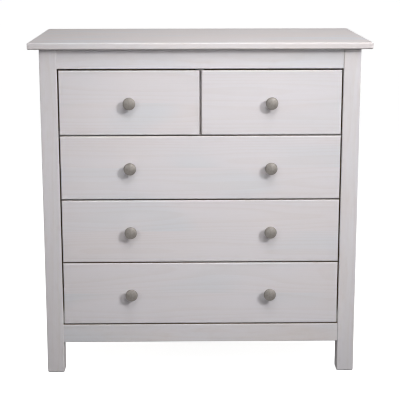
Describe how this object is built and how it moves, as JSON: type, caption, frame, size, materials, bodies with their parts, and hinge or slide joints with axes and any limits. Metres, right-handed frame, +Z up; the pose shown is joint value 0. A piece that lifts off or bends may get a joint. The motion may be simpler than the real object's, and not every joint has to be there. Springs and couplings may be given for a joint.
{
  "type": "chest of drawers",
  "caption": "Free-standing wooden chest of drawers on square legs: small drawers side by side over full-width drawers, round metal knobs, overhanging top board, open gap above the floor.",
  "frame": {"origin": "centre of the whole chest's footprint box, knobs included, on the floor plane, drawers closed", "axes": "+X to the right seen from the front, +Y to the back so that the drawers open along -Y, +Z up"},
  "size_m": [0.9, 0.5146, 0.906],
  "materials": {
    "washed_pine": "pine stained a thin matt white so that the grain still shows",
    "washed_pine_fronts": "pine boards stained a thin matt white, grain running left to right",
    "bare_pine": "planed pine, unfinished",
    "thin_plywood": "sanded thin plywood, unfinished",
    "beech_dowel": "beech dowels with a glued fit",
    "brushed_nickel": "satin brushed nickel plating",
    "screw_steel": "zinc-plated steel"
  },
  "bodies": {
    "carcass": {"top_board": "washed_pine", "front_left_leg": "washed_pine", "front_right_leg": "washed_pine", "rear_left_leg": "washed_pine", "rear_right_leg": "washed_pine", "left_side_panel": "washed_pine", "right_side_panel": "washed_pine", "front_top_rail": "washed_pine", "front_bottom_rail": "washed_pine", "cross_rail": "bare_pine", "rear_top_rail": "bare_pine", "rear_bottom_rail": "bare_pine", "divider": "washed_pine", "back_panel": "thin_plywood", "carcass_dowels": "beech_dowel", "runner_screws": "screw_steel", "back_panel_screws": "screw_steel", "small_left_drawer_runners": "bare_pine", "small_right_drawer_runners": "bare_pine", "upper_drawer_runners": "bare_pine", "middle_drawer_runners": "bare_pine", "lower_drawer_runners": "bare_pine"},
    "small_left_drawer": {"small_left_drawer_front": "washed_pine_fronts", "small_left_drawer_left_side": "bare_pine", "small_left_drawer_right_side": "bare_pine", "small_left_drawer_back": "bare_pine", "small_left_drawer_bottom": "thin_plywood", "small_left_drawer_knob": "brushed_nickel", "small_left_drawer_knob_screws": "screw_steel"},
    "small_right_drawer": {"small_right_drawer_front": "washed_pine_fronts", "small_right_drawer_left_side": "bare_pine", "small_right_drawer_right_side": "bare_pine", "small_right_drawer_back": "bare_pine", "small_right_drawer_bottom": "thin_plywood", "small_right_drawer_knob": "brushed_nickel", "small_right_drawer_knob_screws": "screw_steel"},
    "upper_drawer": {"upper_drawer_front": "washed_pine_fronts", "upper_drawer_left_side": "bare_pine", "upper_drawer_right_side": "bare_pine", "upper_drawer_back": "bare_pine", "upper_drawer_bottom": "thin_plywood", "upper_drawer_left_knob": "brushed_nickel", "upper_drawer_right_knob": "brushed_nickel", "upper_drawer_knob_screws": "screw_steel"},
    "middle_drawer": {"middle_drawer_front": "washed_pine_fronts", "middle_drawer_left_side": "bare_pine", "middle_drawer_right_side": "bare_pine", "middle_drawer_back": "bare_pine", "middle_drawer_bottom": "thin_plywood", "middle_drawer_left_knob": "brushed_nickel", "middle_drawer_right_knob": "brushed_nickel", "middle_drawer_knob_screws": "screw_steel"},
    "lower_drawer": {"lower_drawer_front": "washed_pine_fronts", "lower_drawer_left_side": "bare_pine", "lower_drawer_right_side": "bare_pine", "lower_drawer_back": "bare_pine", "lower_drawer_bottom": "thin_plywood", "lower_drawer_left_knob": "brushed_nickel", "lower_drawer_right_knob": "brushed_nickel", "lower_drawer_knob_screws": "screw_steel"}
  },
  "joints": [
    {"name": "small_left_drawer_slide", "type": "slide", "parent": "carcass", "child": "small_left_drawer", "axis": [0, -1, 0], "range_m": [0, 0.3]},
    {"name": "small_right_drawer_slide", "type": "slide", "parent": "carcass", "child": "small_right_drawer", "axis": [0, -1, 0], "range_m": [0, 0.3]},
    {"name": "upper_drawer_slide", "type": "slide", "parent": "carcass", "child": "upper_drawer", "axis": [0, -1, 0], "range_m": [0, 0.3]},
    {"name": "middle_drawer_slide", "type": "slide", "parent": "carcass", "child": "middle_drawer", "axis": [0, -1, 0], "range_m": [0, 0.3]},
    {"name": "lower_drawer_slide", "type": "slide", "parent": "carcass", "child": "lower_drawer", "axis": [0, -1, 0], "range_m": [0, 0.3]}
  ]
}
